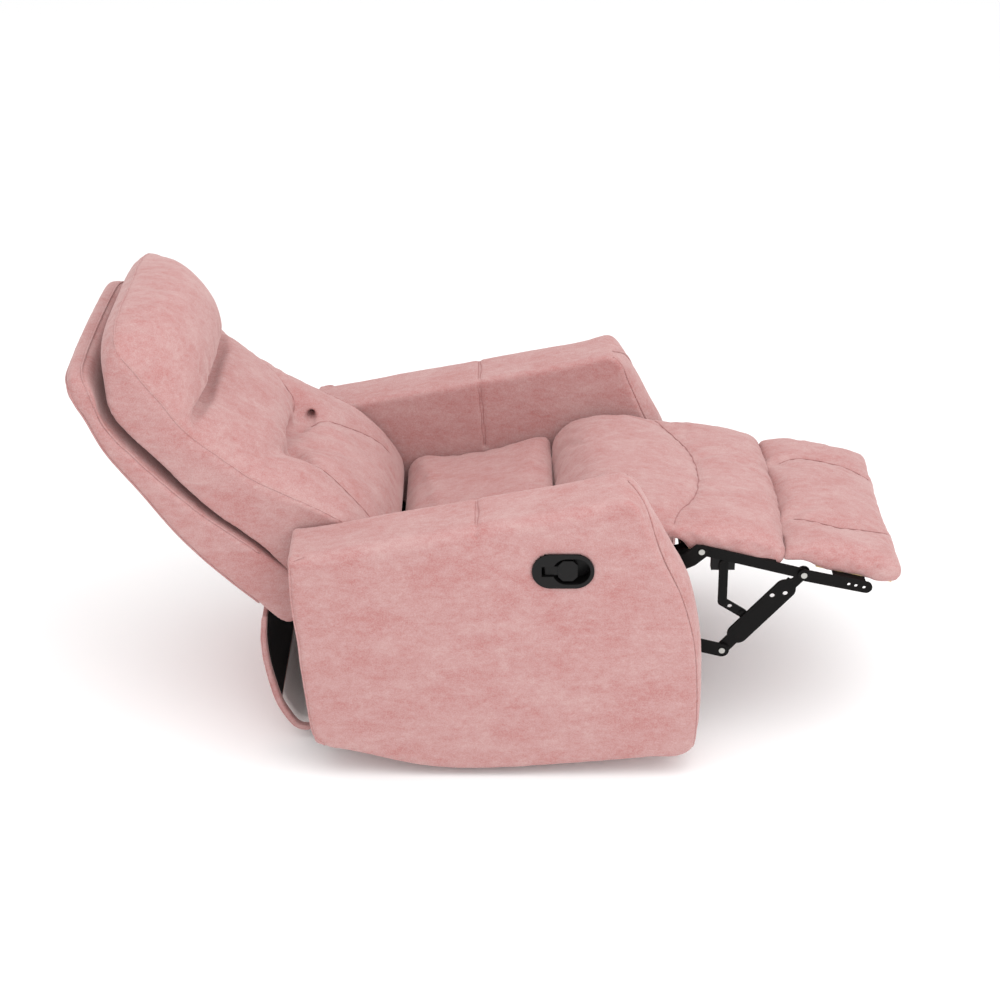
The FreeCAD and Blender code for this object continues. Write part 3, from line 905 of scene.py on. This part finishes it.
@dataclass
class BackShell(Upholstery):
    """The outside back: a slab with an arched top, round shoulders and piping along both its edges.

    Attributes:
        half: Half its width.
        outline: Its side view.
        low: The foot of its rear face, from which heights along it are measured.
        arch: How far the top edge drops at the sides.
    """

    half: float = 264.0
    outline: tuple = ((398, 273), (455, 314), (526, 379), (601, 462), (667, 555), (731, 644), (771, 724), (798, 780),
                      (792, 794), (768, 795), (731, 709), (647, 605), (558, 516), (449, 429), (352, 318))
    low: tuple = (398.0, 273.0)
    arch: float = 4.0

    def along(self, points: np.ndarray) -> np.ndarray:
        """The height of each point up the back from its foot."""
        return (points[:, 1] - self.low[0]) * UP_BACK[0] + (points[:, 2] - self.low[1]) * UP_BACK[1]

    def arched(self, points: np.ndarray) -> np.ndarray:
        """Arches the top: a point drops down the back with the fourth power of its share of the half width.

        The drop fades in over the top 170 mm, and the shoulders narrow by the same rule.

        Args:
            points: The points in millimetres.

        Returns:
            The moved points.
        """
        share = share_across(points, self.half)
        height = self.along(points)
        drop = (self.arch * share**2 + 22 * share**14) * smoothstep(470, 650, height)
        moved = points.copy()
        moved[:, 1:] -= drop[:, None] * UP_BACK
        moved[:, 0] *= 1 - 0.02 * smoothstep(590, 665, height)
        return moved

    def build(self) -> None:
        """Makes the slab and its piping."""
        outline = smooth_line(self.outline, closed=True, step=6.0)
        stations = rounded_stations(0, self.half, 9)
        inset = edge_inset(stations, self.half, np.full(len(outline), 7.0))
        obj = loft("back_shell_piece", stations, drawn_in(outline, inset))
        remesh(obj, 5.0, 3)
        skin = Skin(obj)
        skin.points = self.arched(skin.points)
        skin.write()
        skin.ripple(170, 2.0, 7)
        skin.limit(self.half + 1)
        skin.write()
        across = np.linspace(-self.half + 20, self.half - 20, 60)[1:-1]
        cords = []
        for line in (self.outline[1:8], self.outline[9:14][::-1]):
            edge = smooth_line(line, step=6.0)
            left = np.column_stack([np.full(len(edge), self.half - 3.0), edge])
            top = np.column_stack([across, np.tile(edge[-1], (len(across), 1))])
            ring = self.arched(np.vstack([mirrored(left), top, left[::-1]]))
            cords.append(skin.settle(smooth_line(ring[::3], step=6.0), 6.0, 0.8))
        for path, _ in cords:
            skin.carve(path, 1.6, 6.0)
        skin.write()
        self.join(obj, "backrest", Finish.COVER, ("back_shell",))
        self.join(round_cords("back_shell_welts", cords, 1.9), "backrest", Finish.COVER)


@dataclass
class Cushion(Upholstery):
    """A padded form with sewn edges: the steps that every cushion shares.

    Attributes:
        name: The piece's name.
        half: Half its width.
        outline: Its side view.
        edge: The radius of its sewn side edges.
        voxel: The size of the cloth's net.
        cap: How far the filling may push the cover.
    """

    name: str = "cushion"
    half: float = 251.0
    outline: tuple = ()
    edge: float = 20.0
    voxel: float = 8.5
    cap: float = 22.0

    def form(self, start_in: float = 0.0) -> bpy.types.Object:
        """Makes the closed form before filling, smaller all round by start_in."""
        outline = smooth_line(self.outline, closed=True, step=7.0)
        stations = rounded_stations(0, self.half - start_in, self.edge)
        under = outward_of(outline)[:, 1] < -0.3
        radius = np.where(under, 6.0, self.edge)
        inset = edge_inset(stations, self.half - start_in, radius) * 0.75 + np.where(under, 0.0, start_in)
        obj = loft(self.name, stations, drawn_in(outline, inset))
        remesh(obj, self.voxel, 2)
        return obj

    def seams(self) -> list[np.ndarray]:
        """The seams across the cushion's cover; a plain cushion has none."""
        return []

    def fill(self, start_in: float, facing: float, pressure: float) -> tuple[bpy.types.Object, Skin]:
        """Forms the cushion and fills it, held along its seams and where it faces down.

        Args:
            start_in: How much smaller than its drawing the form starts.
            facing: The upward part of the normal below which the cover is held.
            pressure: The pressure of the filling.

        Returns:
            The filled piece and its surface.
        """
        obj = self.form(start_in)
        skin = Skin(obj)
        pinned = skin.normals[:, 2] < facing
        for path in self.seams():
            pinned |= skin.distance_to(skin.settle(path)[0], 12.0)[0] < 6.0
        swell(obj, pinned, pressure, self.cap)
        skin.read()
        return obj, skin

    def sew(self, obj: bpy.types.Object, body: str, seams: Sequence[np.ndarray], depth: float, width: float,
            nodes: Sequence[str], rides: bool = True) -> Skin:
        """Args:
            obj: The filled piece.
            body: The body that carries it.
            seams: The seam lines, near the surface.
            depth: The seams' depth.
            width: Their width.
            nodes: The nodes that the piece replaces.
            rides: Whether the piece rides on the body; otherwise it is left unattached.

        Returns:
            The piece's surface.
        """
        refine(obj)
        skin = Skin(obj)
        rows = [skin.settle(path, 8.0)[0] for path in seams]
        for row in rows:
            skin.carve(row, depth * (1 + 0.25 * np.sin(np.arange(len(row)) * 0.9)), width)
        skin.write()
        self.dress(obj, Finish.PAD)
        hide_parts(*nodes)
        if rides:
            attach(obj, body)
        if seams:
            # The threads' darker colour is partly painted shade of the seam grooves.
            threads = [skin.settle(row, 5.0, 0.2) for row in rows]
            thread = round_cords(self.name + "_seams", threads, THREAD_RADIUS)
            self.dress(thread, Finish.THREAD)
            if rides:
                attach(thread, body)
        return skin


@dataclass
class BackCushion(Cushion):
    """The back's front cushion with its head pillow, in one cover between two side boxings.

    The form is blended between two side views: the middle one has the domed pillow, the fold under it and the
    lumbar roll, and the edge one is the boxing's flat outline. Four lines leave the pinch in the middle: two rise
    to the sides under the pillow and two fall to the lower corners.

    Attributes:
        edge_outline: The boxing's side view.
        held_below: The height under which the cover is held while it fills, clear of the seat.
        side_plane: Half the finished width; the sides lie flat in this plane beside the arms.
        fold: The line of the fold under the pillow.
        upper_seam: The left line that rises from the pinch.
        lower_seam: The left line that falls from it.
        pinch: The line of the pinch.
    """

    name: str = "back_cushion_piece"
    half: float = 257.0
    outline: tuple = ((300, 295), (203, 303), (191, 362), (215, 422), (300, 507), (380, 572), (470, 636), (528, 680),
                      (578, 718), (552, 706), (541, 740), (554, 787), (579, 832), (614, 865), (656, 880), (698, 875),
                      (731, 846), (728, 781), (712, 726), (632, 618), (549, 524), (443, 434), (346, 326))
    edge_outline: tuple = ((300, 295), (203, 306), (193, 363), (226, 425), (284, 489), (370, 538), (459, 585),
                           (520, 634), (560, 668), (572, 679), (588, 696), (612, 733), (643, 775), (673, 817),
                           (697, 848), (709, 864), (731, 846), (730, 781), (715, 722), (632, 618), (549, 524),
                           (443, 434), (346, 326))
    edge: float = 6.0
    voxel: float = 9.0
    cap: float = 11.0
    held_below: float = 400.0
    side_plane: float = 257.5
    fold: tuple = ((-225, 566, 692), (-170, 558, 697), (-90, 554, 700), (0, 552, 701), (90, 554, 700),
                   (170, 558, 697), (225, 566, 692))
    upper_seam: tuple = ((98, 393, 562), (112, 400, 570), (134, 412, 584), (172, 438, 608), (215, 487, 650),
                         (245, 535, 688))
    lower_seam: tuple = ((88, 378, 554), (102, 350, 540), (118, 318, 522), (143, 282, 490), (168, 244, 450),
                         (182, 222, 425))
    pinch: tuple = ((-84, 386, 556), (-45, 384, 562), (0, 383, 564), (45, 384, 562), (84, 386, 556))

    def form(self, start_in: float = 0.0) -> bpy.types.Object:
        """Makes the closed form before filling.

        The ring at x is the middle outline moved towards the edge outline by the cube of x's share of the half
        width, and a quarter circle rounds the last few millimetres.

        Args:
            start_in: How much smaller the form is made at its sides.

        Returns:
            The closed form, as even quads.
        """
        middle = curve_through(self.outline, True, 7)[:-1]
        edge = curve_through(self.edge_outline, True, 7)[:-1]
        stations = rounded_stations(0, self.half - start_in, 30)
        share = (np.abs(stations) / stations.max())[:, None, None] ** 3
        rings = middle[None] + (edge - middle)[None] * share
        inset = edge_inset(stations, stations.max(), np.full(len(edge), self.edge))
        obj = loft(self.name, stations, rings - outward_of(edge)[None] * inset[..., None])
        remesh(obj, self.voxel, 1)
        return obj

    def shouldered(self, points: np.ndarray) -> np.ndarray:
        """Rounds the pillow's top corners: a point slides down the back by 34 mm times its share of the half width
        to the fifth power, and only over the top 130 mm.

        Args:
            points: The points in millimetres.

        Returns:
            The moved points.
        """
        drop = 34 * share_across(points, self.half) ** 5 * smoothstep(990, 1125, points[:, 1:] @ UP_BACK)
        return points - drop[:, None] * np.array((0.0, *UP_BACK))

    def boxing(self) -> np.ndarray:
        """The seam of a side boxing: down the edge outline's front, from the pillow's top corner to the seat."""
        box = np.array([(self.half - 3, y, z) for y, z in self.edge_outline[2:16]])
        return smooth_line(self.shouldered(box))

    def rear_seam(self) -> np.ndarray:
        """The seam along the pillow's rear top edge, from one boxing to the other."""
        corner = self.edge_outline[15]
        across = np.array([-254, -235, -150, 0, 150, 235, 254], float)
        rise = 14 * (1 - (across / 254) ** 2)
        return smooth_line(self.shouldered(np.column_stack([across, corner[0] - rise * 0.3, corner[1] + rise])))

    def seams(self) -> list[np.ndarray]:
        """The pinch, the two lower seams, the left upper seam and the valley that answers it on the right."""
        lines = [self.pinch, self.lower_seam, mirrored(self.lower_seam), self.upper_seam, mirrored(self.upper_seam)]
        return [smooth_line(line) for line in lines]

    def edges(self) -> list[np.ndarray]:
        """The boxing seams and the rear top seam."""
        return [self.boxing(), mirrored(self.boxing()), self.rear_seam()]

    def shape(self, skin: Skin, share: float) -> None:
        """Draws the pinch and the valleys of the four lines that leave it into the cushion.

        Args:
            skin: The cushion's surface.
            share: The share of the full depth to take now.
        """
        seams = self.seams()
        skin.carve(skin.settle(seams[0])[0], 32.0 * share, 32.0)
        skin.write()
        for path in seams[1:]:
            skin.carve(skin.settle(path)[0], np.linspace(13.0, 2.0, len(path)) * share, 22.0)
        skin.write()

    def build(self) -> None:
        """Makes, fills and sews the cushion."""
        obj = self.form(2.0)
        skin = Skin(obj)
        self.shape(skin, 0.8)
        pinned = skin.normals[:, 1:] @ (-UP_BACK[1], UP_BACK[0]) < -0.25
        for path in self.edges() + self.seams()[:1]:
            pinned |= skin.distance_to(skin.settle(path)[0], 14.0)[0] < 8.0
        x, y, z = skin.points.T
        pinned |= (np.abs(x) < 120) & (np.hypot(y - 560, z - 706) < 16)
        pinned |= z < self.held_below
        swell(obj, pinned, 3.0, self.cap)
        skin.read()
        self.shape(skin, 0.2)
        for line, depth, width in ((self.fold, 26.0, 11.0), (self.pinch, 26.0, 12.0)):
            path = smooth_line(line)
            deep = depth * np.sin(np.linspace(0, np.pi, len(path))) ** 0.5
            skin.carve(skin.settle(path, 4.0)[0], deep, width)
            skin.write()
        flat = (np.abs(skin.normals[:, 0]) > 0.7) & (skin.points[:, 2] < 540)
        skin.points[flat, 0] = np.sign(skin.points[flat, 0]) * self.side_plane
        skin.points = self.shouldered(skin.points)
        skin.limit(self.side_plane)
        skin.write()
        skin = self.sew(obj, "backrest", self.seams()[1:-1], 2.0, 6.0, ("back_cushion", "head_pillow"))
        welts = [skin.settle(path, 5.0, 0.6) for path in self.edges()]
        self.join(round_cords(self.name + "_welts", welts, 1.5), "backrest", Finish.PAD)


@dataclass
class SeatCushion(Cushion):
    """The seat's rear cushion, between the arms, with its rear edge under the back; ends are its last y planes."""

    name: str = "seat_cushion_piece"
    half: float = 262.0
    outline: tuple = ((184, 269), (184, 358), (172, 374), (100, 388), (20, 403), (-60, 421), (-100, 430), (-119, 428),
                      (-123, 412), (-123, 358), (30, 314))
    edge: float = 14.0
    cap: float = 9.0
    ends: tuple = (-122.5, 184)

    def build(self) -> None:
        """Makes, fills and sews the cushion."""
        obj, skin = self.fill(2.0, 0.2, 3.0)
        skin.ripple(120, 1.0, 9)
        skin.limit(264)
        skin.points[:, 1] = np.clip(skin.points[:, 1], *self.ends)
        skin.write()
        self.sew(obj, "chassis", [], 2.0, 6.0, ("seat_cushion",))


@dataclass
class ChaisePad(Cushion):
    """The long pad over the seat's front and the leg panel, with a felled seam that sweeps across its front.

    It is one cover over both, not attached to any body.
    """

    name: str = "chaise_pad_piece"
    half: float = 252.0
    outline: tuple = ((-124.5, 358), (-124.5, 436), (-150, 466), (-200, 484), (-270, 489), (-366, 477), (-440, 468),
                      (-513, 454), (-553, 438), (-566, 424), (-562, 403), (-435, 418.5), (-374, 427), (-366, 441),
                      (-250, 403))
    edge: float = 20.0
    cap: float = 14.0

    def seams(self) -> list[np.ndarray]:
        """The seam that runs from each side forwards and across the middle of the chaise."""
        sweep = [(-252, -338, 460), (-216, -352, 474), (-179, -364, 480), (-128, -389, 478), (-85, -404, 476),
                 (-30, -412, 475), (30, -412, 475), (85, -404, 476), (137, -389, 478), (190, -364, 480),
                 (225, -345, 474), (250, -322, 460)]
        return [smooth_line(sweep)]

    def build(self) -> None:
        """Makes, fills, sews and bends the pad."""
        obj, skin = self.fill(3.0, -0.1, 4.0)
        self.bow(skin.points)
        skin.write()
        skin.ripple(130, 2.2, 15)
        skin.limit(256)
        skin.write()
        self.sew(obj, "chassis", self.seams(), 2.8, 6.0, ("seat_front_pad", "leg_pad"), rides=False)
        for piece in (obj, bpy.data.objects[self.name + "_seams"]):
            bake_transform(piece)

    def bow(self, points: np.ndarray) -> None:
        """Bows the front edge forwards, by 16 mm at the middle, less with the square of x, and only near it."""
        points[:, 1] -= 16 * (1 - share_across(points, self.half) ** 2) * smoothstep(440, 556, -points[:, 1])


@dataclass
class FootPad(Cushion):
    """The footrest's pad, with two seams along it that bend towards each other at mid length."""

    name: str = "foot_pad_piece"
    half: float = 250.0
    outline: tuple = ((-559, 408), (-559, 424), (-600, 434), (-680, 424), (-760, 404), (-789, 391), (-797, 376),
                      (-790, 358), (-774, 352), (-700, 369), (-627, 386), (-606, 398))
    edge: float = 14.0
    cap: float = 12.0

    def seams(self) -> list[np.ndarray]:
        """The two lengthwise seams."""
        line = [(124, -592, 436), (142, -640, 432), (147, -680, 425), (140, -730, 412), (118, -786, 396)]
        return [smooth_line(path) for path in (line, mirrored(line))]

    def build(self) -> None:
        """Makes, fills and sews the pad."""
        obj, skin = self.fill(2.0, -0.1, 4.0)
        near = 1 - smoothstep(560, 640, -skin.points[:, 1])
        skin.points[:, 1] -= 5 * (1 - share_across(skin.points, self.half) ** 2) * near
        skin.points[:, 2] -= 4 * near
        skin.write()
        skin.ripple(120, 1.6, 21)
        skin.limit(255)
        skin.points[:, 1] = np.maximum(skin.points[:, 1], -805)
        skin.write()
        self.sew(obj, "footrest", self.seams(), 2.2, 5.0, ("foot_pad",))


# --------------------------------------------------------------------------------- hard parts, studio

def dress_frame(finishes: dict[Finish, bpy.types.Material]) -> None:
    """Gives every shown hard part the material of its record slot.

    Args:
        finishes: The materials by finish.
    """
    for part in frame["record"]["subparts"]:
        obj = frame["nodes"][part["node"]]
        finish = Finish(part["material_slot"])
        obj.data.materials.clear()
        obj.data.materials.append(finishes[finish])
        LOG.info("%s: %s", part["node"], finish.value)


@dataclass(frozen=True)
class Studio:
    """A white sweep, three broad soft lights and the camera.

    Attributes:
        eye: The camera's place in metres.
        dip: How far the camera looks down, in degrees.
        lens: Its focal length in millimetres, on a 36 mm sensor.
    """

    eye: tuple = (-3.7901, -0.0129, 2.379)
    dip: float = 27.5
    lens: float = 75.6

    def build(self) -> None:
        """Makes the floor, the lights, the world and the camera."""
        self.floor()
        self.light("key", (-1.6, -1.8, 3.2), 3.0, 48.0)
        self.light("top", (-0.7, 0.4, 3.5), 3.2, 27.0)
        self.light("fill", (-3.6, -0.6, 1.6), 2.0, 22.0)
        world = bpy.data.worlds.new("studio")
        bpy.context.scene.world = world
        world.use_nodes = True
        background = world.node_tree.nodes["Background"]
        background.inputs["Color"].default_value = linear("#ffffff")
        background.inputs["Strength"].default_value = 1.0
        camera = bpy.data.objects.new("camera", bpy.data.cameras.new("camera"))
        camera.data.lens = self.lens
        camera.data.sensor_width = 36.0
        camera.data.clip_start = 0.05
        camera.location = self.eye
        camera.rotation_euler = (math.radians(90 - self.dip), 0, math.radians(-90))
        bpy.context.scene.collection.objects.link(camera)
        bpy.context.scene.camera = camera
        bpy.context.scene.view_settings.view_transform = "Standard"

    def light(self, name: str, place: tuple[float, float, float], size: float, power: float) -> None:
        """Adds a square soft light that faces the chair.

        Args:
            name: The light's name.
            place: Where it hangs, in metres.
            size: Its side in metres.
            power: Its power in watts.
        """
        lamp = bpy.data.lights.new(name, "AREA")
        lamp.size = size
        lamp.energy = power
        obj = bpy.data.objects.new(name, lamp)
        obj.location = place
        obj.rotation_euler = (Vector((0, 0, 0.4)) - Vector(place)).to_track_quat("-Z", "Y").to_euler()
        bpy.context.scene.collection.objects.link(obj)

    def floor(self) -> None:
        """Lays the pale floor: matt seamless paper."""
        material, tree, _ = start_material("seamless_paper")
        finish_material(tree, {"Base Color": linear("#fbfbfb"), "Roughness": 0.9, "Specular IOR Level": 0.1})
        reach = 12000.0
        corners = np.array([(-reach, -reach, 0), (reach, -reach, 0), (reach, reach, 0), (-reach, reach, 0)])
        mesh = bpy.data.meshes.new("floor")
        mesh.from_pydata((corners * MM).tolist(), [], [(0, 1, 2, 3)])
        mesh.materials.append(material)
        sweep = bpy.data.objects.new("floor", mesh)
        bpy.context.scene.collection.objects.link(sweep)


def main() -> None:
    """Builds the chair over its frame."""
    logging.basicConfig(level=logging.INFO, format="%(name)s: %(message)s")
    finishes = make_finishes()
    dress_frame(finishes)
    for side in Side:
        ArmCover(finishes, side).build()
    RearSkirt(finishes).build()
    BackShell(finishes).build()
    BackCushion(finishes).build()
    SeatCushion(finishes).build()
    ChaisePad(finishes).build()
    FootPad(finishes).build()
    Studio().build()


if __name__ == "__main__":
    main()
